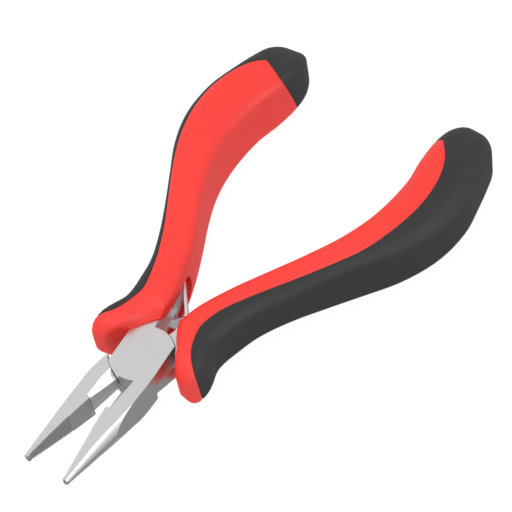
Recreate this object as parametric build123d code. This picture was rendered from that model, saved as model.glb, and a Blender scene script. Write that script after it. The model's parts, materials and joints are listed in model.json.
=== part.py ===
from build123d import *
import math
import os

# Small long nose pliers with a side cutter: two forged levers in a lap joint, a pivot rivet,
# two crossed spring leaves and two-colour moulded grips.
# Everything is drawn closed, about the joint's middle plane, for the lever whose half of the
# lap is in front (+Z). Its jaw is on +X and its handle on -X. The rear lever and its grip are
# the same shapes turned half a turn about Y. Then each half is swung open about the pivot (Z).

# Driving dimensions, millimetres and degrees
OPEN_HALF = 8.66            # each half's swing from closed to the relaxed, open rest position
JOINT_HALF = 3.6            # half the joint's thickness
LAP_GAP = 0.03              # middle plane to each lap face
FACE_GAP = 0.02             # middle plane between the jaws to each gripping face, closed
HEAD_HALF = 5.65            # pivot axis to the straight sides of the joint and jaws
DISC_RADIUS = 7.15          # round ends of a lap
SOCKET_RADIUS = 7.3         # round shoulders that the other lever's lap turns in

JAW_LENGTH = 32.5           # pivot to tip
GRIP_START = 15.2           # pivot to the rear end of the gripping faces
TEETH_START = 21.0          # pivot to the first groove
TOOTH_COUNT = 19
TOOTH_PITCH = 0.58
TOOTH_DEPTH = 0.3
GROOVE_SHARE = 0.46         # half a groove's width over the pitch
THROAT_START = 6.3          # pivot to the rear end of the cutting edges
CUTTER_END_GAP = 0.6        # plain stop between the cutting edge and the gripping face
RELIEF_RADIUS, RELIEF_HALF = 0.45, 2.5  # round relief at the corner of the gripping face

NECK_END = 15.3             # pivot to the step where the thin tang begins
NECK_DRAFT = 0.8            # how far the neck's side falls back from the parting line
NECK_LEAN = 4.0
TANG_HALF_WIDTH = 2.5
TANG_HALF_DEPTH = 2.4

RIVET_RADIUS = 2.3
RIVET_HEAD_RADIUS = 3.2
RIVET_HEAD_DEPTH = 1.15
RIVET_CLEARANCE = 0.05
RIVET_BLIND_DEPTH = 1.2     # metal left in front of the rivet's blind hole

LEAF_THICKNESS = 0.5
LEAF_LOW, LEAF_HIGH = 0.15, 3.0

COVER_STEP = 0.25           # how far the lever's face is stepped down under the grip
COVER_EDGE = [(HEAD_HALF + 0.1, 4.1), (5.6, 4.3), (4.5, 5.75), (3.35, 7.1), (2.1, 8.4), (0.7, 9.5),
              (-1.0, 9.9)]  # grip's front edge on the lever's face: from the axis, from the pivot
LIP_HEIGHT = 0.6            # low lip of the grip along that edge
LIP_WIDTH = 1.6
GRIP_CLEARANCE_RADIUS = 8.0  # room for the other lever's lap beside the grip
NOTCH_HALF = 3.2            # half-height of the spring notch in the grip
NOTCH_FLOOR = 3.4
NOTCH_END = 20.6            # centre of the notch's round end

# Jaw: distance from the pivot, half-thickness of the ground flats, radius of the round nose
NOSE_FLATS = [(10.0, 3.6), (15.2, 3.12), (20.7, 2.66), (26.5, 1.85), (JAW_LENGTH, 0.88)]
NOSE_ROUND = [(10.0, 6.65), (13.0, 5.75), (16.0, 5.12), (18.5, 4.55), (21.0, 3.95), (24.0, 3.2),
              (27.0, 2.5), (30.0, 1.75), (JAW_LENGTH, 1.2)]

# Jaw's side from the joint to where the round nose takes over: distance from the axis, from
# the pivot
FLANK_LINE = [(HEAD_HALF, 3.0), (5.55, 6.0), (5.35, 9.0), (5.05, 11.5), (4.75, 14.0), (4.6, 16.5),
              (4.55, 19.0)]

CUT_ABOVE = 0.5             # how far cutting shapes stand clear of the faces they cut

# Side cutter's ground faces, at the rear and front end of the cutting edge: distance from the
# axis and height above the middle plane of the edge's shoulder, then of the bevel's outer line
CUTTER_REAR = [(0.32, 1.5), (2.3, JOINT_HALF)]
CUTTER_FRONT = [(0.42, 2.3), (1.35, JOINT_HALF)]

# Tang's centre line: distance from the axis, distance from the pivot
TANG_LINE = [(3.3, 14.0), (5.0, 20.0), (7.0, 25.0), (9.7, 32.0), (15.7, 48.0), (18.7, 62.0),
             (17.3, 76.0)]

# Grip sections: distance from the pivot, inner and outer edge, half-thickness, lean (degrees)
GRIP_SECTIONS = [
    (0.7, 10.1, 13.2, 3.0, 0.0),
    (1.5, 9.0, 13.6, 4.6, 0.0),
    (2.8, 7.6, 13.8, 5.7, 0.0),
    (4.6, 5.6, 13.7, 6.3, 0.0),
    (6.4, 3.9, 13.3, 6.5, 0.0),
    (8.3, 2.1, 12.4, 6.6, 0.0),
    (10.3, 0.5, 11.3, 6.65, 0.5),
    (12.5, 0.3, 10.7, 6.6, 2.0),
    (16.5, 0.6, 10.7, 6.5, 6.0),
    (24.0, 2.2, 11.7, 6.05, 14.5),
    (32.0, 4.8, 14.3, 6.0, 19.6),
    (40.0, 8.0, 17.4, 6.6, 20.9),
    (48.0, 10.6, 20.8, 7.2, 18.4),
    (56.0, 11.8, 24.2, 7.7, 11.4),
    (64.0, 11.6, 26.2, 7.9, 0.5),
    (72.0, 10.3, 25.9, 8.0, -11.3),
    (79.0, 8.0, 23.5, 8.0, -17.0),
    (84.5, 6.8, 21.2, 7.6, -16.0),
    (88.6, 6.9, 19.2, 6.8, -11.0),
    (91.6, 8.4, 16.6, 5.0, -5.0),
    (92.9, 10.6, 14.0, 2.4, 0.0),
]
SECTION_ROUNDING = 0.68     # corner radius over the section's smaller half-size

# Line where the grip's two colours meet, on the lap side and on the far side of the handle:
# distance from the axis, distance from the pivot. Between the sides it runs straight.
COLOUR_HEIGHT = 6.3
COLOUR_LINE_LAP = [(16.0, 2.5), (12.2, 4.5), (9.8, 6.6), (7.9, 10.6), (7.3, 14.8), (9.2, 21.8),
                   (12.3, 30.0), (15.8, 38.0), (20.0, 47.6), (22.4, 55.5), (23.6, 63.0),
                   (23.5, 70.0), (21.6, 76.5), (18.4, 81.2), (14.6, 84.2)]
COLOUR_LINE_FAR = [(16.2, 2.1), (12.8, 3.7), (9.5, 6.3), (7.0, 10.3), (6.1, 14.0), (6.9, 20.5),
                   (9.9, 29.0), (14.0, 37.7), (18.2, 47.4), (19.9, 54.5), (20.4, 62.0),
                   (19.8, 68.5), (17.8, 75.0), (14.6, 80.0), (10.4, 83.6)]
CAP_INNER_LAP = (7.4, 79.3)
CAP_INNER_FAR = (6.0, 83.2)

# Right leaf, seen from the front at rest: from its root in the rear lever's neck to its tip
LEAF_PATH = [(3.9, 10.6), (2.3, 12.4), (-2.3, 17.4), (-4.2, 19.4), (-5.5, 21.0)]


def prism(outline, low, high):
    """Closed outline in the plane of motion, made solid from low to high."""
    face = make_face(Polyline(*outline, close=True))
    return Pos(0, 0, low) * extrude(face, amount=high - low)


def drum(radius, low, high):
    """Cylinder on the pivot axis."""
    return Pos(0, 0, (low + high) / 2) * Cylinder(radius, high - low)


def jaw():
    """Half-round jaw with ground flats, before its inner side is cut."""
    flank = [(x, -reach) for x, reach in FLANK_LINE]
    with BuildSketch() as plan:
        with BuildLine():
            Spline(*flank)
            Polyline(flank[-1], (flank[-1][0], -JAW_LENGTH), (FACE_GAP, -JAW_LENGTH),
                     (FACE_GAP, flank[0][1]), flank[0])
        make_face()
    blank = extrude(plan.sketch, amount=JOINT_HALF, both=True)
    upper = [(-reach, half) for reach, half in NOSE_FLATS]
    lower = [(y, -z) for y, z in reversed(upper)]
    with BuildSketch(Plane.YZ) as side:
        with BuildLine():
            Line((0, JOINT_HALF), upper[0])
            Spline(*upper)
            Line(upper[-1], lower[0])
            Spline(*lower)
            Polyline(lower[-1], (0, -JOINT_HALF), (0, JOINT_HALF))
        make_face()
    flats = extrude(side.sketch, amount=HEAD_HALF + 1)
    profile = [(radius, -reach) for reach, radius in NOSE_ROUND]
    with BuildSketch() as half:
        with BuildLine():
            Polyline(profile[-1], (0, -JAW_LENGTH), (0, 0), (profile[0][0], 0), profile[0])
            Spline(*profile)
        make_face()
    return blank & flats & revolve(half.sketch, axis=Axis.Y)


def tooth_cutter():
    """All the grooves of one gripping face."""
    cut = None
    for row in range(TOOTH_COUNT):
        middle = -TEETH_START - row * TOOTH_PITCH
        reach = TOOTH_PITCH * GROOVE_SHARE
        groove = prism([(-0.3, middle - reach), (FACE_GAP, middle - reach),
                        (TOOTH_DEPTH, middle), (FACE_GAP, middle + reach),
                        (-0.3, middle + reach)], -JOINT_HALF - 1, JOINT_HALF + 1)
        cut = groove if cut is None else cut + groove
    return cut


def cutting_edge_cutter():
    """Material ground away on both faces to leave the side cutter's edge on the middle plane."""
    ends = []
    front_end = GRIP_START - CUTTER_END_GAP
    for reach, (shoulder, outer) in ((THROAT_START, CUTTER_REAR), (front_end, CUTTER_FRONT)):
        slope = (outer[0] - shoulder[0]) / (outer[1] - shoulder[1])
        above = (outer[0] + CUT_ABOVE * slope, outer[1] + CUT_ABOVE)
        outline = [(-1, 0), (FACE_GAP, 0), shoulder, above, (-1, above[1])]
        face = Plane.XZ * make_face(Polyline(*outline, close=True))
        ends.append(Pos(0, -reach, 0) * face)
    front = loft(ends, ruled=True)
    relief = Pos(FACE_GAP, -GRIP_START, 0) * Cylinder(RELIEF_RADIUS, 2 * RELIEF_HALF)
    return front + mirror(front, about=Plane.XY) + relief


def cover_outline():
    """Outline of the grip on the lever's face: its front edge, then far round the handle."""
    edge = [(-x, y) for x, y in COVER_EDGE]
    return edge + [(1, 30), (-14, 30), (-14, COVER_EDGE[0][1])]


def tang():
    """Thin steel bar inside the grip."""
    centre = [(-x, y) for x, y in TANG_LINE]
    line = Spline(*centre)
    return Pos(0, 0, -TANG_HALF_DEPTH) * extrude(trace(line, 2 * TANG_HALF_WIDTH),
                                                 amount=2 * TANG_HALF_DEPTH)


def neck():
    """Full-thickness shoulder from the joint to the tang, with draft to a parting line."""
    blank = prism([(-0.15, 5), (-0.15, NECK_END), (-6.6, NECK_END), (-HEAD_HALF - 0.6, 8),
                   (-HEAD_HALF, 3.0), (-3, 3.0)], -JOINT_HALF, JOINT_HALF)
    wedge = [(-0.15, 0), (-0.15 - NECK_DRAFT, JOINT_HALF), (1, JOINT_HALF), (1, 0)]
    side = Pos(0, 20, 0) * extrude(Plane.XZ * make_face(Polyline(*wedge, close=True)), amount=20)
    side = side + mirror(side, about=Plane.XY)
    lean = Pos(-0.15, 7, 0) * Rot(0, 0, NECK_LEAN) * Pos(0.15, -7, 0)
    edge = prism([(-0.15, 0), (-0.15, 30), (6, 30), (6, 0)], -JOINT_HALF - 1, JOINT_HALF + 1)
    return blank - lean * edge - lean * side


def rivet():
    """Pivot rivet: blind in the front lever, with its flat head sunk in the rear one."""
    head_top = -JOINT_HALF + RIVET_HEAD_DEPTH
    shank = drum(RIVET_RADIUS, head_top - 0.2, JOINT_HALF - RIVET_BLIND_DEPTH)
    return shank + drum(RIVET_HEAD_RADIUS, -JOINT_HALF + 0.03, head_top)


def lever():
    """Front lever, closed and solid: lap, jaw, neck and tang, with no hole for the rivet."""
    lap = drum(DISC_RADIUS, LAP_GAP, JOINT_HALF)
    lap = lap & Pos(0, 0, JOINT_HALF / 2) * Box(2 * HEAD_HALF, 40, 2 * JOINT_HALF)
    cut_jaw = jaw() - tooth_cutter() - cutting_edge_cutter()
    shape = lap + cut_jaw + neck() + tang()
    shape = shape - drum(SOCKET_RADIUS, -JOINT_HALF - 1, LAP_GAP)
    for low, high in ((JOINT_HALF - COVER_STEP, 5), (-5, COVER_STEP - JOINT_HALF)):
        shape = shape - prism(cover_outline(), low, high)
    return shape


def grip_solid():
    """Whole grip, before the colours are parted and the lever's room is cut from it."""
    sections = []
    for reach, inner, outer, half, lean in GRIP_SECTIONS:
        middle = -(inner + outer) / 2
        across = (outer - inner) * math.cos(math.radians(lean))
        corner = SECTION_ROUNDING * min(across / 2, half)
        turn = math.radians(lean)
        plane = Plane(origin=(middle, reach, 0), x_dir=(math.cos(turn), math.sin(turn), 0),
                      z_dir=(-math.sin(turn), math.cos(turn), 0))
        sections.append(plane * RectangleRounded(across, 2 * half, corner))
    return loft(sections)


def face_room():
    """Space above the lever's face that the grip keeps out of, up to its front edge."""
    low, high = JOINT_HALF - COVER_STEP, 9
    around = prism([(-HEAD_HALF - 0.05, -9), (8, -9), (8, 10.5), (-HEAD_HALF - 0.05, 10.5)], low, high)
    return around - prism(cover_outline(), low, high)


def lip():
    """Low lip along the grip's front edge on the lever's face."""
    edge = [(-x, y) for x, y in COVER_EDGE[1:-1]]
    shift = LIP_WIDTH * math.sqrt(0.5)
    back = [(x - shift, y + shift) for x, y in reversed(edge)]
    return prism(edge + back, JOINT_HALF - COVER_STEP, JOINT_HALF + LIP_HEIGHT)


def colour_region():
    """Space that holds the grip's second colour: the handle's outer side and its end."""
    faces = []
    for height in (9.0, -9.0):
        share = height / COLOUR_HEIGHT
        line = []
        for lap, far in zip(COLOUR_LINE_LAP + [CAP_INNER_LAP], COLOUR_LINE_FAR + [CAP_INNER_FAR]):
            x = (lap[0] + far[0]) / 2 + share * (lap[0] - far[0]) / 2
            y = (lap[1] + far[1]) / 2 + share * (lap[1] - far[1]) / 2
            line.append((-x, y))
        with BuildSketch(Plane.XY.offset(height)) as outline:
            with BuildLine():
                Spline(*line[:-1])
                Polyline(line[-2], line[-1], (5, 86), (5, 110), (-40, 110), (-40, 2), line[0])
            make_face()
        faces.append(outline.sketch)
    return loft(faces, ruled=True)


def notch():
    """Round-ended notch in the grip's inner side, where the springs reach in."""
    depth = 12
    slot = Pos(depth / 2 - NOTCH_FLOOR, NOTCH_END / 2, 0) * Box(depth, NOTCH_END, 2 * NOTCH_HALF)
    end = Pos(depth / 2 - NOTCH_FLOOR, NOTCH_END, 0) * Rot(0, 90, 0) * Cylinder(NOTCH_HALF, depth)
    return slot + end


def far_side_room():
    """Space beside the lap that the other lever and its grip turn in."""
    return drum(GRIP_CLEARANCE_RADIUS, -12, 0)


def leaf():
    """Right spring leaf, at rest."""
    strip = trace(Spline(*LEAF_PATH), LEAF_THICKNESS)
    return Pos(0, 0, LEAF_LOW) * extrude(strip, amount=LEAF_HIGH - LEAF_LOW)


def turned(shape):
    """The same shape turned half a turn about Y, for the other half of the tool."""
    return Rot(0, 180, 0) * shape


def opened(shape, side):
    """A closed half swung to rest: side is 1 for the front half and -1 for the rear half."""
    return Rot(0, 0, side * OPEN_HALF) * shape


head_top = -JOINT_HALF + RIVET_HEAD_DEPTH
blind_end = JOINT_HALF - RIVET_BLIND_DEPTH
plain_lever = lever()
bore_front = drum(RIVET_RADIUS, -1, blind_end)
bore_rear = drum(RIVET_RADIUS + RIVET_CLEARANCE, -5, 1)
bore_rear = bore_rear + drum(RIVET_HEAD_RADIUS + RIVET_CLEARANCE, -5, head_top + RIVET_CLEARANCE)

whole_grip = grip_solid() + lip() - face_room()
whole_grip = whole_grip - notch() - far_side_room() - plain_lever
overlay = whole_grip & colour_region()
core = whole_grip - colour_region()

right_leaf = leaf()
left_leaf = turned(right_leaf)

parts = {
    "front_lever": opened(plain_lever - bore_front, 1) - left_leaf,
    "rear_lever": opened(turned(plain_lever) - bore_rear, -1) - right_leaf,
    "pivot_rivet": rivet(),
    "left_spring_leaf": left_leaf,
    "right_spring_leaf": right_leaf,
    "left_grip_core": opened(core, 1),
    "left_grip_overlay": opened(overlay, 1),
    "right_grip_core": opened(turned(core), -1),
    "right_grip_overlay": opened(turned(overlay), -1),
}

os.makedirs("parts", exist_ok=True)
for name, shape in parts.items():
    placed = Pos(0, 0, -JOINT_HALF) * shape
    export_step(placed, f"parts/{name}.step")
    print(name, "solids", len(placed.solids()), "volume", round(placed.volume, 1))
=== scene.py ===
import json
import math

import bmesh
import bpy
import numpy as np
from mathutils import Matrix, Vector


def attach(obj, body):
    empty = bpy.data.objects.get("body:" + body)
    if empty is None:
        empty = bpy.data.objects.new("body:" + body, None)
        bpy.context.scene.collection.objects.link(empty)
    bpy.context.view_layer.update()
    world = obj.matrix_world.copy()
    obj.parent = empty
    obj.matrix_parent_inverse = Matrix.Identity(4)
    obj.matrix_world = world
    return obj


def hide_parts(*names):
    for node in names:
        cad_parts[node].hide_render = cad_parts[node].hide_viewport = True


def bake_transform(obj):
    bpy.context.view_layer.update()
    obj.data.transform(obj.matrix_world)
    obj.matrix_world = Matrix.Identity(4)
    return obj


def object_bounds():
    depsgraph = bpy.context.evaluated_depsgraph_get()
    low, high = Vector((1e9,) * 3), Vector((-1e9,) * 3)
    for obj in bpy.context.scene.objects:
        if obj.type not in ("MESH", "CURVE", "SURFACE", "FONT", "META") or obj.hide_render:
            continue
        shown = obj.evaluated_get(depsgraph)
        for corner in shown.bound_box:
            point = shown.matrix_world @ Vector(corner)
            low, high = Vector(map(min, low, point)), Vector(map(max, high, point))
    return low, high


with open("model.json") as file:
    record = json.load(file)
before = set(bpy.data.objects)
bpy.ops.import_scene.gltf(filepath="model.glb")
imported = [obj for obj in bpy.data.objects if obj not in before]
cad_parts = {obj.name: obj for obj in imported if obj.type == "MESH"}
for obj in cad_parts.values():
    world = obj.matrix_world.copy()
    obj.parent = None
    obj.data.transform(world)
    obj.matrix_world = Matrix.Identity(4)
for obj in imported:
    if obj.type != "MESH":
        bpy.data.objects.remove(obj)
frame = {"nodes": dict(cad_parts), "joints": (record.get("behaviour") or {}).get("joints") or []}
cad_low, cad_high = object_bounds()
MM = 0.001

# Camera: looks down on the open tool from beyond its right jaw, rolled so that the handles
# rise to the upper right. A long lens, for the flat look of a small product seen from afar.
camera_data = bpy.data.cameras.new("camera")
camera = bpy.data.objects.new("camera", camera_data)
bpy.context.scene.collection.objects.link(camera)
bpy.context.scene.camera = camera
camera_data.sensor_width = 36.0
camera_data.lens = 128.2
camera_data.clip_start = 0.01
camera_data.clip_end = 20.0
right = Vector((0.7865, 0.6043, -0.1276)).normalized()
back = Vector((0.46671, -0.44610, 0.76366)).normalized()
up = back.cross(right).normalized()
right = up.cross(back)
turn = Matrix((right, up, back)).transposed()
camera.matrix_world = Matrix.Translation((0.191074, -0.144079, 0.304940)) @ turn.to_4x4()

# Table: a plain white sweep under the lowest point of the grips, far larger than the view. It is
# lit from within, as a light table is, so that shadows and coloured light hardly show on it.
floor_size = 3.0
floor_gap = 0.00002
bpy.ops.mesh.primitive_grid_add(x_subdivisions=2, y_subdivisions=2, size=floor_size,
                                location=(0, 0, cad_low.z - floor_gap))
floor = bpy.context.object
floor.name = "table_top"
paper = bpy.data.materials.new("white_paper")
paper.use_nodes = True
paper_shader = paper.node_tree.nodes["Principled BSDF"]
paper_shader.inputs["Base Color"].default_value = (0.10, 0.10, 0.10, 1)
paper_shader.inputs["Roughness"].default_value = 0.9
paper_shader.inputs["Emission Color"].default_value = (1, 1, 1, 1)
paper_shader.inputs["Emission Strength"].default_value = 0.94
floor.visible_glossy = False
floor.data.materials.append(paper)

# Studio: an even white room that darkens towards its floor, one large softbox above the tool for
# the shape of the grips, and a tall bright panel at the right that shows in the steel.
bpy.context.scene.view_settings.view_transform = "Standard"
world = bpy.data.worlds.new("studio")
bpy.context.scene.world = world
world.use_nodes = True
room = world.node_tree.nodes
room["Background"].inputs["Color"].default_value = (1, 1, 1, 1)
direction = room.new("ShaderNodeTexCoord")
height = room.new("ShaderNodeSeparateXYZ")
world.node_tree.links.new(direction.outputs["Generated"], height.inputs["Vector"])
horizon = room.new("ShaderNodeMapRange")
horizon.interpolation_type = "SMOOTHSTEP"
horizon.inputs["From Min"].default_value = -0.80
horizon.inputs["From Max"].default_value = -0.05
horizon.inputs["To Min"].default_value = 0.34
horizon.inputs["To Max"].default_value = 0.70
world.node_tree.links.new(height.outputs["Z"], horizon.inputs["Value"])
world.node_tree.links.new(horizon.outputs["Result"], room["Background"].inputs["Strength"])


def softbox(name, place, aim, width, height, power):
    """Rectangular area light, in metres, pointed from its place at the aim."""
    data = bpy.data.lights.new(name, "AREA")
    data.shape = "RECTANGLE"
    data.size = width
    data.size_y = height
    data.energy = power
    lamp = bpy.data.objects.new(name, data)
    bpy.context.scene.collection.objects.link(lamp)
    lamp.location = place
    lamp.rotation_euler = (Vector(aim) - Vector(place)).to_track_quat("-Z", "Y").to_euler()
    return lamp


middle = (cad_low + cad_high) / 2
key = softbox("key_softbox", (-0.12, -0.20, 0.82), middle, 0.9, 0.9, 4.5)
key.visible_glossy = False
panel = softbox("side_panel", (0.90, 0.07, 0.44), middle, 0.95, 0.75, 2.9)
panel.visible_diffuse = False


# Levers: two forged and ground carbon-steel halves of a lap joint, nickel plated. The ground
# flats carry a fine straight grain.
def group_socket(group, name, kind, way, value=None):
    """New socket on a node group, with its default value."""
    socket = group.interface.new_socket(name, in_out=way, socket_type=kind)
    if value is not None:
        socket.default_value = value
    return socket


def link(tree, start, end):
    """Joins an output socket to an input socket."""
    tree.links.new(start, end)


def grain_group():
    """Fine straight scratches along Y, with a slow cloudy change under them."""
    group = bpy.data.node_groups.new("ground_grain", "ShaderNodeTree")
    group_socket(group, "Fineness", "NodeSocketFloat", "INPUT", 2600.0)
    group_socket(group, "Stretch", "NodeSocketVector", "INPUT", (1.0, 0.03, 1.0))
    group_socket(group, "Grain", "NodeSocketFloat", "OUTPUT")
    group_socket(group, "Cloud", "NodeSocketFloat", "OUTPUT")
    nodes = group.nodes
    enter = nodes.new("NodeGroupInput")
    leave = nodes.new("NodeGroupOutput")
    place = nodes.new("ShaderNodeTexCoord")
    stretch = nodes.new("ShaderNodeVectorMath")
    stretch.operation = "MULTIPLY"
    link(group, place.outputs["Object"], stretch.inputs[0])
    link(group, enter.outputs["Stretch"], stretch.inputs[1])
    scratches = nodes.new("ShaderNodeTexNoise")
    scratches.inputs["Detail"].default_value = 3.0
    scratches.inputs["Roughness"].default_value = 0.7
    link(group, stretch.outputs["Vector"], scratches.inputs["Vector"])
    link(group, enter.outputs["Fineness"], scratches.inputs["Scale"])
    cloud = nodes.new("ShaderNodeTexNoise")
    cloud.inputs["Scale"].default_value = 180.0
    cloud.inputs["Detail"].default_value = 4.0
    link(group, place.outputs["Object"], cloud.inputs["Vector"])
    link(group, scratches.outputs["Fac"], leave.inputs["Grain"])
    link(group, cloud.outputs["Fac"], leave.inputs["Cloud"])
    return group


ground_grain = grain_group()


def steel(name, dark, light, rough_low, rough_high, bump, fineness=2600.0,
          stretch=(1.0, 0.03, 1.0), side=None):
    """Ground steel whose colour and roughness follow the grain. Faces square to the pivot keep
    the grain's tone; the sides, told by their direction, get the darker colour side: painted shade."""
    material = bpy.data.materials.new(name)
    material.use_nodes = True
    tree = material.node_tree
    nodes = tree.nodes
    shader = nodes["Principled BSDF"]
    shader.inputs["Metallic"].default_value = 1.0
    grain = nodes.new("ShaderNodeGroup")
    grain.node_tree = ground_grain
    grain.inputs["Fineness"].default_value = fineness
    grain.inputs["Stretch"].default_value = stretch
    tone = nodes.new("ShaderNodeMix")
    tone.data_type = "RGBA"
    tone.inputs["A"].default_value = (*dark, 1)
    tone.inputs["B"].default_value = (*light, 1)
    mixed = nodes.new("ShaderNodeMath")
    mixed.operation = "ADD"
    mixed.use_clamp = True
    half_grain = nodes.new("ShaderNodeMath")
    half_grain.operation = "MULTIPLY"
    half_grain.inputs[1].default_value = 0.5
    half_cloud = nodes.new("ShaderNodeMath")
    half_cloud.operation = "MULTIPLY"
    half_cloud.inputs[1].default_value = 0.5
    link(tree, grain.outputs["Grain"], half_grain.inputs[0])
    link(tree, grain.outputs["Cloud"], half_cloud.inputs[0])
    link(tree, half_grain.outputs["Value"], mixed.inputs[0])
    link(tree, half_cloud.outputs["Value"], mixed.inputs[1])
    link(tree, mixed.outputs["Value"], tone.inputs["Factor"])
    if side is None:
        link(tree, tone.outputs["Result"], shader.inputs["Base Color"])
    else:
        # Painted shade: faces whose normal lies nearly flat to the pivot axis take the darker colour
        # side.
        facing = nodes.new("ShaderNodeTexCoord")
        parts = nodes.new("ShaderNodeSeparateXYZ")
        link(tree, facing.outputs["Normal"], parts.inputs["Vector"])
        upright = nodes.new("ShaderNodeMath")
        upright.operation = "ABSOLUTE"
        link(tree, parts.outputs["Z"], upright.inputs[0])
        unshaded_share = nodes.new("ShaderNodeMapRange")
        unshaded_share.interpolation_type = "SMOOTHSTEP"
        unshaded_share.inputs["From Min"].default_value = 0.05
        unshaded_share.inputs["From Max"].default_value = 0.18
        link(tree, upright.outputs["Value"], unshaded_share.inputs["Value"])
        shade = nodes.new("ShaderNodeMix")
        shade.data_type = "RGBA"
        shade.inputs["A"].default_value = (*side, 1)
        link(tree, unshaded_share.outputs["Result"], shade.inputs["Factor"])
        link(tree, tone.outputs["Result"], shade.inputs["B"])
        link(tree, shade.outputs["Result"], shader.inputs["Base Color"])
    rough = nodes.new("ShaderNodeMapRange")
    rough.inputs["To Min"].default_value = rough_low
    rough.inputs["To Max"].default_value = rough_high
    link(tree, grain.outputs["Grain"], rough.inputs["Value"])
    link(tree, rough.outputs["Result"], shader.inputs["Roughness"])
    relief = nodes.new("ShaderNodeBump")
    relief.inputs["Strength"].default_value = bump
    relief.inputs["Distance"].default_value = 0.00002
    link(tree, grain.outputs["Grain"], relief.inputs["Height"])
    link(tree, relief.outputs["Normal"], shader.inputs["Normal"])
    return material


# The side colour is painted shade on the levers' flanks and neck sides.
lever_steel = steel("ground_nickel_steel", dark=(0.80, 0.80, 0.81), light=(0.92, 0.92, 0.92),
                    rough_low=0.26, rough_high=0.40, bump=0.25, side=(0.64, 0.64, 0.645))
for node in ("front_lever", "rear_lever"):
    part = frame["nodes"][node]
    part.data.materials.clear()
    part.data.materials.append(lever_steel)

# Pivot rivet: a steel pin, blind in the front lever, its head pressed in and ground flush at
# the back. Turned grain instead of straight.
rivet_steel = steel("flush_rivet_steel", dark=(0.50, 0.50, 0.51), light=(0.66, 0.66, 0.67),
                    rough_low=0.28, rough_high=0.42, bump=0.2, fineness=3400.0,
                    stretch=(1.0, 1.0, 0.1))
rivet = frame["nodes"]["pivot_rivet"]
rivet.data.materials.clear()
rivet.data.materials.append(rivet_steel)

# Spring leaves: two flat strips of bright spring steel, staked in the levers' necks. Each
# reaches across to the other handle, so they cross and push the handles apart.
leaf_steel = steel("bright_spring_steel", dark=(0.86, 0.87, 0.88), light=(0.95, 0.95, 0.96),
                   rough_low=0.16, rough_high=0.26, bump=0.12)
# Sizes in millimetres. The path is the right leaf's, from its root to its tip.
leaf_path = [(3.9, 10.6), (2.3, 12.4), (0.0, 15.0), (-2.3, 17.4), (-4.2, 19.4), (-5.5, 21.0)]
leaf_thickness = 0.7
leaf_edge_radius = 0.12
leaf_low, leaf_high = 0.15, 3.0
joint_half = -frame["joints"][0]["pos_m"][2] / MM


def leaf_nodes():
    """Strip swept along a path: a rectangle with softened edges follows the curve."""
    tree = bpy.data.node_groups.new("spring_leaf", "GeometryNodeTree")
    tree.interface.new_socket("Geometry", in_out="INPUT", socket_type="NodeSocketGeometry")
    width = tree.interface.new_socket("Width", in_out="INPUT", socket_type="NodeSocketFloat")
    thick = tree.interface.new_socket("Thickness", in_out="INPUT", socket_type="NodeSocketFloat")
    edge = tree.interface.new_socket("Edge radius", in_out="INPUT", socket_type="NodeSocketFloat")
    coat = tree.interface.new_socket("Material", in_out="INPUT", socket_type="NodeSocketMaterial")
    tree.interface.new_socket("Geometry", in_out="OUTPUT", socket_type="NodeSocketGeometry")
    nodes = tree.nodes
    enter = nodes.new("NodeGroupInput")
    leave = nodes.new("NodeGroupOutput")
    smooth = nodes.new("GeometryNodeResampleCurve")
    smooth.inputs["Count"].default_value = 48
    link(tree, enter.outputs["Geometry"], smooth.inputs["Curve"])
    outline = nodes.new("GeometryNodeCurvePrimitiveQuadrilateral")
    link(tree, enter.outputs["Thickness"], outline.inputs["Width"])
    link(tree, enter.outputs["Width"], outline.inputs["Height"])
    soften = nodes.new("GeometryNodeFilletCurve")
    soften.mode = "POLY"
    soften.inputs["Count"].default_value = 4
    link(tree, outline.outputs["Curve"], soften.inputs["Curve"])
    link(tree, enter.outputs["Edge radius"], soften.inputs["Radius"])
    sweep = nodes.new("GeometryNodeCurveToMesh")
    sweep.inputs["Fill Caps"].default_value = True
    link(tree, smooth.outputs["Curve"], sweep.inputs["Curve"])
    link(tree, soften.outputs["Curve"], sweep.inputs["Profile Curve"])
    real = nodes.new("GeometryNodeRealizeInstances")
    link(tree, sweep.outputs["Mesh"], real.inputs["Geometry"])
    paint = nodes.new("GeometryNodeSetMaterial")
    link(tree, real.outputs["Geometry"], paint.inputs["Geometry"])
    link(tree, enter.outputs["Material"], paint.inputs["Material"])
    link(tree, paint.outputs["Geometry"], leave.inputs["Geometry"])
    return tree, width.identifier, thick.identifier, edge.identifier, coat.identifier


leaf_tree, width_id, thickness_id, edge_id, material_id = leaf_nodes()


def spring_leaf(name, mirror):
    """One leaf at rest. mirror is 1 for the right one and -1 for its half-turned twin."""
    curve = bpy.data.curves.new(name + "_line", "CURVE")
    curve.dimensions = "3D"
    curve.twist_mode = "Z_UP"
    spline = curve.splines.new("NURBS")
    spline.points.add(len(leaf_path) - 1)
    level = mirror * (leaf_low + leaf_high) / 2 - joint_half
    for point, (x, y) in zip(spline.points, leaf_path):
        point.co = (mirror * x * MM, y * MM, level * MM, 1)
    spline.order_u = 4
    spline.use_endpoint_u = True
    guide = bpy.data.objects.new(name + "_guide", curve)
    bpy.context.scene.collection.objects.link(guide)
    modifier = guide.modifiers.new("leaf", "NODES")
    modifier.node_group = leaf_tree
    modifier[width_id] = (leaf_high - leaf_low) * MM
    modifier[thickness_id] = leaf_thickness * MM
    modifier[edge_id] = leaf_edge_radius * MM
    modifier[material_id] = leaf_steel
    bpy.context.view_layer.update()
    graph = bpy.context.evaluated_depsgraph_get()
    mesh = bpy.data.meshes.new_from_object(guide.evaluated_get(graph))
    bpy.data.objects.remove(guide)
    piece = bpy.data.objects.new(name, mesh)
    bpy.context.scene.collection.objects.link(piece)
    return piece


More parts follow.
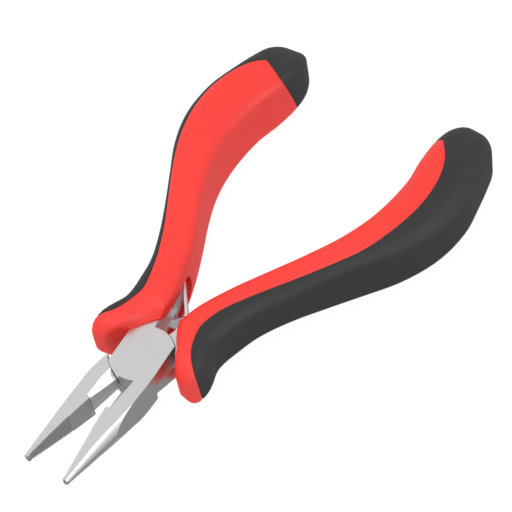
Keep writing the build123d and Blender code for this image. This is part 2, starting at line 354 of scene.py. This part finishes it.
right_leaf = spring_leaf("right_leaf", 1)
left_leaf = spring_leaf("left_leaf", -1)
for piece, node, root, far, side in ((right_leaf, "right_spring_leaf", "rear_half", "front_half", 1),
                                     (left_leaf, "left_spring_leaf", "front_half", "rear_half", -1)):
    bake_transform(piece)
    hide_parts(node)

# Grips: hard red bodies moulded over the tangs, with a soft black overlay moulded round their
# outer side and end. The two meet in a fine groove, and both are drawn as one closed handle, in
# millimetres with the tool closed, which is then parted along the line of the colours.
open_half = 8.66
# Each section across the handle: distance from the pivot, inner edge, outer edge, half the
# thickness and lean in degrees.
sections = [
    (0.4, 11.4, 12.4, 0.5, 0.0),
    (0.7, 10.1, 13.2, 3.0, 0.0),
    (1.5, 9.0, 13.6, 4.6, 0.0),
    (2.8, 7.6, 13.8, 5.7, 0.0),
    (4.6, 5.6, 13.7, 6.3, 0.0),
    (6.4, 3.9, 13.3, 6.5, 0.0),
    (8.3, 2.1, 12.4, 6.6, 0.0),
    (10.3, 0.5, 11.3, 6.65, 0.5),
    (12.5, 0.3, 10.7, 6.6, 2.0),
    (16.5, 0.6, 10.7, 6.5, 6.0),
    (24.0, 2.2, 11.7, 6.05, 14.5),
    (32.0, 4.8, 14.3, 6.0, 19.6),
    (40.0, 8.0, 17.4, 6.6, 20.9),
    (48.0, 10.6, 20.8, 7.2, 18.4),
    (56.0, 11.8, 24.2, 7.7, 11.4),
    (64.0, 11.6, 26.2, 7.9, 0.5),
    (72.0, 10.3, 25.9, 8.0, -11.3),
    (79.0, 8.0, 23.5, 8.0, -17.0),
    (84.5, 6.8, 21.2, 7.6, -16.0),
    (88.6, 6.9, 19.2, 6.8, -11.0),
    (91.6, 8.4, 16.6, 5.0, -5.0),
    (92.9, 10.6, 14.0, 2.4, 0.0),
    (92.95, 11.9, 12.7, 0.6, 0.0),
]
# Corner radius over the section's smaller half-size: face side inner, face side outer, far
# side outer, far side inner. The face side is the one on which the lever's lap lies.
rounding = (0.40, 0.68, 0.68, 0.68)
least_half_width = 0.2
front_bulge, end_bulge = 0.03, 0.01
# The line where the colours meet, on the face side and on the far side: distance from the axis
# and from the pivot. Each holds at its own height, and it runs straight between the two.
colour_height = 6.3
colour_line_face = [(16.0, 2.5), (12.2, 4.5), (9.8, 6.6), (7.9, 10.6), (7.3, 14.8), (9.2, 21.8),
                    (12.3, 30.0), (15.8, 38.0), (20.0, 47.6), (22.4, 55.5), (23.6, 63.0),
                    (23.5, 70.0), (21.6, 76.5), (18.4, 81.2), (14.6, 84.2)]
colour_line_far = [(16.2, 2.1), (12.8, 3.7), (9.5, 6.3), (7.0, 10.3), (6.1, 14.0), (6.9, 20.5),
                   (9.9, 29.0), (14.0, 37.7), (18.2, 47.4), (19.9, 54.5), (20.4, 62.0),
                   (19.8, 68.5), (17.8, 75.0), (14.6, 80.0), (10.4, 83.6)]
cap_inner_face = (7.4, 79.3)
cap_inner_far = (6.0, 83.2)


def smooth_through(points, steps):
    """Catmull-Rom curve through the rows of an array, with so many steps between two rows."""
    rows = np.array(points, float)
    padded = np.vstack([2 * rows[0] - rows[1], rows, 2 * rows[-1] - rows[-2]])
    out = []
    for i in range(1, len(padded) - 2):
        a, b, c, d = padded[i - 1:i + 3]
        t = np.linspace(0, 1, steps, endpoint=False)[:, None]
        out.append(0.5 * (2 * b + (c - a) * t + (2 * a - 5 * b + 4 * c - d) * t ** 2
                          + (3 * b - 3 * c + d - a) * t ** 3))
    return np.vstack(out + [rows[-1:]])


def section_loop(half_width, half_height, arc=12, side=8):
    """Points round a rectangle with four corner radii, from the face side's inner corner."""
    radii = [share * min(half_width, half_height) for share in rounding]
    corners = [(1, 1, 0), (-1, 1, 90), (-1, -1, 180), (1, -1, 270)]
    loop = []
    for (sx, sy, start), radius in zip(corners, radii):
        cx, cy = sx * (half_width - radius), sy * (half_height - radius)
        arc_points = []
        for k in range(arc + 1):
            angle = math.radians(start + 90 * k / arc)
            arc_points.append((cx + radius * math.cos(angle), cy + radius * math.sin(angle)))
        if loop:
            last, first = np.array(loop[-1]), np.array(arc_points[0])
            loop += [tuple(last + (first - last) * k / side) for k in range(1, side)]
        loop += arc_points
    last, first = np.array(loop[-1]), np.array(loop[0])
    loop += [tuple(last + (first - last) * k / side) for k in range(1, side)]
    return loop


def whole_grip():
    """Closed, smooth handle on the -X side, before anything is cut from it."""
    rows = smooth_through(sections, 8)
    shape = bmesh.new()
    rings = []
    for reach, inner, outer, half, lean in rows:
        turn = math.radians(lean)
        half_width = max((outer - inner) / 2 * math.cos(turn), least_half_width)
        ring = []
        for across, height in section_loop(half_width, half):
            x = -(inner + outer) / 2 + across * math.cos(turn)
            y = reach + across * math.sin(turn)
            ring.append(shape.verts.new((x, y, height)))
        rings.append(ring)
    count = len(rings[0])
    for low, high in zip(rings, rings[1:]):
        for k in range(count):
            shape.faces.new((low[k], low[(k + 1) % count], high[(k + 1) % count], high[k]))
    for ring, bulge in ((rings[0], -front_bulge), (rings[-1], end_bulge)):
        centre = sum((v.co for v in ring), Vector()) / count
        pole = shape.verts.new(centre + Vector((0, bulge, 0)))
        for k in range(count):
            shape.faces.new((ring[k], ring[(k + 1) % count], pole))
    bmesh.ops.recalc_face_normals(shape, faces=shape.faces)
    return shape


def as_piece(shape, name):
    """Turns a drawn shape into an object, and frees the shape."""
    mesh = bpy.data.meshes.new(name)
    shape.to_mesh(mesh)
    shape.free()
    piece = bpy.data.objects.new(name, mesh)
    bpy.context.scene.collection.objects.link(piece)
    return piece


def room_for_other_lever():
    """Drum under the lap that the other lever turns in."""
    radius, depth = 8.0, 12.0
    drum = bmesh.new()
    bmesh.ops.create_cone(drum, cap_ends=True, segments=160, radius1=radius, radius2=radius,
                          depth=depth, matrix=Matrix.Translation((0, 0, -depth / 2)))
    return as_piece(drum, "lap_room")


def spring_notch():
    """Round-ended slot in the handle's inner side, which the far end of a leaf slides in."""
    half, floor_x, open_x, start_y, end_y, steps = 3.2, -3.4, 6.0, -2.0, 20.6, 32
    outline = [(start_y, -half), (end_y, -half)]
    outline += [(end_y + half * math.sin(math.pi * k / steps), -half * math.cos(math.pi * k / steps))
                for k in range(1, steps)]
    outline += [(end_y, half), (start_y, half)]
    slot = bmesh.new()
    near = [slot.verts.new((open_x, y, z)) for y, z in outline]
    deep = [slot.verts.new((floor_x, y, z)) for y, z in outline]
    slot.faces.new(near)
    slot.faces.new(deep)
    for k in range(len(outline)):
        j = (k + 1) % len(outline)
        slot.faces.new((near[k], near[j], deep[j], deep[k]))
    bmesh.ops.recalc_face_normals(slot, faces=slot.faces)
    return as_piece(slot, "spring_slot")


# The grip's front edge on the lever's face, from the joint's side to the handle's inner side:
# distance from the axis, distance from the pivot, and its share of the wall's roll backwards.
face_edge = [(5.70, 4.15, 0.0), (5.6, 4.3, 0.3), (4.5, 5.75, 0.7), (3.35, 7.1, 1.0), (2.1, 8.4, 1.0),
             (0.7, 9.5, 1.0), (-1.0, 9.9, 1.0)]
face_level, lip_top = 3.35, 4.2
# The wall over that edge, upwards: how far it has rolled back, and its height.
wall_roll = [(0.0, face_level), (0.0, lip_top - 0.1), (0.12, lip_top), (0.34, lip_top),
             (0.42, lip_top + 0.12), (0.65, 4.95), (1.05, 5.5), (1.6, 5.95), (2.3, 6.28), (3.2, 6.5),
             (4.4, 6.66), (4.5, 9.0)]


def stacked(levels):
    """Closed shape through outlines of equal length, each at its own height."""
    shape = bmesh.new()
    rings = [[shape.verts.new((x, y, z)) for x, y in outline] for outline, z in levels]
    shape.faces.new(rings[0])
    shape.faces.new(rings[-1])
    for lower, upper in zip(rings, rings[1:]):
        for k in range(len(lower)):
            j = (k + 1) % len(lower)
            shape.faces.new((lower[k], lower[j], upper[j], upper[k]))
    bmesh.ops.recalc_face_normals(shape, faces=shape.faces)
    return shape


def room_over_face():
    """Space over the lever's face: it goes up past the grip's lip, then rolls back."""
    far_x, near_y = 8.0, -9.0
    levels = []
    for back, height in wall_roll:
        edge = [(-p - back * share, reach + back * share) for p, reach, share in face_edge]
        corners = [(far_x, face_edge[-1][1]), (far_x, near_y), (-face_edge[0][0], near_y)]
        levels.append((edge + corners, height))
    return as_piece(stacked(levels), "face_room")


def lip_block():
    """Solid behind the lip, so that it stands on the lever's face all along the edge."""
    depth = 1.1
    front = [(-p, reach) for p, reach, _ in face_edge[1:-1]]
    rear = [(x - depth, y + depth) for x, y in reversed(front)]
    return as_piece(stacked([(front + rear, face_level), (front + rear, lip_top)]), "lip_block")


def colour_distance(points):
    """Signed distance in the plane of motion from the colours' line, positive on the black side."""
    before, after = (40.0, 2.0), (-5.0, 86.0)
    beyond = [(-5.0, 110.0), (40.0, 110.0)]
    face = np.vstack([smooth_through(colour_line_face, 10), cap_inner_face])
    far = np.vstack([smooth_through(colour_line_far, 10), cap_inner_far])
    share = points[:, 2] / colour_height
    place = np.stack([-points[:, 0], points[:, 1]], 1)
    count = len(points)

    def for_each(corners):
        return np.broadcast_to(np.array(corners), (count, len(corners), 2))

    line = (face + far)[None] / 2 + share[:, None, None] * (face - far)[None] / 2
    line = np.concatenate([for_each([before]), line, for_each([after])], 1)
    a, b = line[:, :-1], line[:, 1:]
    run = b - a
    away = place[:, None] - a
    t = np.clip((away * run).sum(2) / np.maximum((run * run).sum(2), 1e-12), 0, 1)
    distance = np.linalg.norm(away - t[..., None] * run, axis=2).min(1)
    # A point is on the black side if a ray from it crosses the closed outline an odd number of times.
    a = np.concatenate([line, for_each(beyond)], 1)
    b = np.roll(a, -1, 1)
    spans = (a[..., 1] > place[:, None, 1]) != (b[..., 1] > place[:, None, 1])
    rise = np.where(np.abs(b[..., 1] - a[..., 1]) < 1e-12, 1e-12, b[..., 1] - a[..., 1])
    cross = a[..., 0] + (place[:, None, 1] - a[..., 1]) * (b[..., 0] - a[..., 0]) / rise
    black_side = (spans & (place[:, None, 0] < cross)).sum(1) % 2 == 1
    return np.where(black_side, distance, -distance)


def cut_along_line(shape, levels):
    """Splits the faces along lines of equal distance, and returns each vertex's distance."""
    bmesh.ops.triangulate(shape, faces=shape.faces)
    values = colour_distance(np.array([v.co for v in shape.verts]))
    known = {v: float(value) for v, value in zip(shape.verts, values)}
    snap = 0.03
    for level in levels:
        for v, value in known.items():
            if abs(value - level) < snap:
                known[v] = level
        for e in list(shape.edges):
            one, two = e.verts
            low, high = known[one] - level, known[two] - level
            if low * high < 0:
                made = bmesh.utils.edge_split(e, one, low / (low - high))[1]
                known[made] = level
        for f in list(shape.faces):
            on = [v for v in f.verts if known[v] == level]
            if len(on) == 2 and not any(on[1] in e.verts for e in on[0].link_edges):
                bmesh.utils.face_split(f, on[0], on[1])
        bmesh.ops.triangulate(shape, faces=[f for f in shape.faces if len(f.verts) > 3])
    return known


def wall_through(half):
    """Closes one colour's open shell with a wall from the face side's line to the far side's."""
    front_end, back_start = 8.0, 70.0
    beside = {}
    for e in half.edges:
        if e.is_boundary:
            one, two = e.verts
            beside.setdefault(one, []).append(two)
            beside.setdefault(two, []).append(one)
    front = min((v for v in beside if v.co.y < front_end), key=lambda v: abs(v.co.z))
    loop = [front, beside[front][0]]
    ahead = None
    while ahead is not front:
        if ahead:
            loop.append(ahead)
        ahead = next(v for v in beside[loop[-1]] if v is not loop[-2])
    back = min((k for k, v in enumerate(loop) if v.co.y > back_start),
               key=lambda k: abs(loop[k].co.z))
    upper, lower = loop[:back + 1], [front] + loop[:back - 1:-1]
    if upper[1].co.z < lower[1].co.z:
        upper, lower = lower, upper
    shares = []
    for chain in (upper, lower):
        steps = [0.0] + [(b.co - a.co).length for a, b in zip(chain, chain[1:])]
        shares.append(np.cumsum(steps) / sum(steps))
    i = j = 0
    while i < len(upper) - 1 or j < len(lower) - 1:
        if j == len(lower) - 1 or i < len(upper) - 1 and shares[0][i + 1] <= shares[1][j + 1]:
            corners = (upper[i], upper[i + 1], lower[j])
            i += 1
        else:
            corners = (upper[i], lower[j], lower[j + 1])
            j += 1
        if len(set(corners)) == 3:
            half.faces.new(corners)


# The groove where the colours meet: the lines cut beside it, and how deep and how sharp it is.
groove_levels = (-0.45, -0.22, -0.08, 0.0, 0.08, 0.22, 0.45)
groove_depth, groove_sharpness = 0.16, 1.6
merge_gap = 0.005


def grip_halves():
    """The red and the black part of one grip, as closed shapes."""
    whole = as_piece(whole_grip(), "whole_grip")
    tools = [lip_block(), room_over_face(), room_for_other_lever(), spring_notch()]
    for tool in tools:
        modifier = whole.modifiers.new(tool.name, "BOOLEAN")
        modifier.operation = "UNION" if tool.name == "lip_block" else "DIFFERENCE"
        modifier.solver = "EXACT"
        modifier.object = tool
    bpy.context.view_layer.update()
    graph = bpy.context.evaluated_depsgraph_get()
    mesh = bpy.data.meshes.new_from_object(whole.evaluated_get(graph))
    for piece in [whole] + tools:
        bpy.data.objects.remove(piece)
    shape = bmesh.new()
    shape.from_mesh(mesh)
    bmesh.ops.remove_doubles(shape, verts=shape.verts, dist=merge_gap)
    known = cut_along_line(shape, groove_levels)
    shape.normal_update()
    for v in shape.verts:
        closeness = max(0.0, 1 - abs(known[v]) / groove_levels[-1])
        v.co -= v.normal * groove_depth * closeness ** groove_sharpness
    is_black = shape.faces.layers.int.new("black")
    for f in shape.faces:
        f[is_black] = int(sum(known[v] for v in f.verts) > 0)
    halves = []
    for wanted in (0, 1):
        half = shape.copy()
        layer = half.faces.layers.int["black"]
        other = [f for f in half.faces if f[layer] != wanted]
        bmesh.ops.delete(half, geom=other, context="FACES")
        wall_through(half)
        bmesh.ops.recalc_face_normals(half, faces=half.faces)
        halves.append(half)
    shape.free()
    return halves


core_shape, overlay_shape = grip_halves()


sharp_edge = 30.0


def placed(shape, name, side, material):
    """One colour where it belongs: side is -1 for the left handle and 1 for the right."""
    mesh = bpy.data.meshes.new(name)
    shape.to_mesh(mesh)
    if side == 1:
        mesh.transform(Matrix.Rotation(math.pi, 4, "Y"))
    mesh.transform(Matrix.Rotation(math.radians(-side * open_half), 4, "Z"))
    mesh.transform(Matrix.Translation((0, 0, -joint_half)))
    mesh.transform(Matrix.Scale(MM, 4))
    mesh.shade_smooth()
    mesh.set_sharp_from_angle(angle=math.radians(sharp_edge))
    mesh.materials.append(material)
    piece = bpy.data.objects.new(name, mesh)
    bpy.context.scene.collection.objects.link(piece)
    return piece


def moulded(name, base, shade, rough_low, rough_high, texture, bump, gloss):
    """Moulded plastic or rubber: cloudy in tone and gloss, under a fine pebbled texture."""
    material = bpy.data.materials.new(name)
    material.use_nodes = True
    tree = material.node_tree
    nodes = tree.nodes
    shader = nodes["Principled BSDF"]
    shader.inputs["Specular IOR Level"].default_value = gloss
    place = nodes.new("ShaderNodeTexCoord")
    cloud = nodes.new("ShaderNodeTexNoise")
    cloud.inputs["Scale"].default_value = 90.0
    cloud.inputs["Detail"].default_value = 5.0
    link(tree, place.outputs["Object"], cloud.inputs["Vector"])
    tone = nodes.new("ShaderNodeMix")
    tone.data_type = "RGBA"
    tone.inputs["A"].default_value = (*shade, 1)
    tone.inputs["B"].default_value = (*base, 1)
    link(tree, cloud.outputs["Fac"], tone.inputs["Factor"])
    link(tree, tone.outputs["Result"], shader.inputs["Base Color"])
    rough = nodes.new("ShaderNodeMapRange")
    rough.inputs["To Min"].default_value = rough_low
    rough.inputs["To Max"].default_value = rough_high
    link(tree, cloud.outputs["Fac"], rough.inputs["Value"])
    link(tree, rough.outputs["Result"], shader.inputs["Roughness"])
    pebbles = nodes.new("ShaderNodeTexNoise")
    pebbles.inputs["Scale"].default_value = texture
    pebbles.inputs["Detail"].default_value = 2.0
    link(tree, place.outputs["Object"], pebbles.inputs["Vector"])
    relief = nodes.new("ShaderNodeBump")
    relief.inputs["Strength"].default_value = bump
    relief.inputs["Distance"].default_value = 0.00003
    link(tree, pebbles.outputs["Fac"], relief.inputs["Height"])
    link(tree, relief.outputs["Normal"], shader.inputs["Normal"])
    return material


red = moulded("red_moulding", base=(0.91, 0.015, 0.004), shade=(0.87, 0.011, 0.002),
              rough_low=0.42, rough_high=0.52, texture=1800.0, bump=0.12, gloss=0.9)
black = moulded("black_soft_touch", base=(0.014, 0.014, 0.0143), shade=(0.010, 0.010, 0.0103),
                rough_low=0.55, rough_high=0.70, texture=2200.0, bump=0.2, gloss=0.72)
for side, word, body in ((-1, "left", "front_half"), (1, "right", "rear_half")):
    core = placed(core_shape, word + "_grip_body", side, red)
    overlay = placed(overlay_shape, word + "_grip_cover", side, black)
    for piece, node, slot in ((core, word + "_grip_core", "red_grip"),
                              (overlay, word + "_grip_overlay", "black_grip")):
        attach(piece, body)
        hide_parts(node)
core_shape.free()
overlay_shape.free()
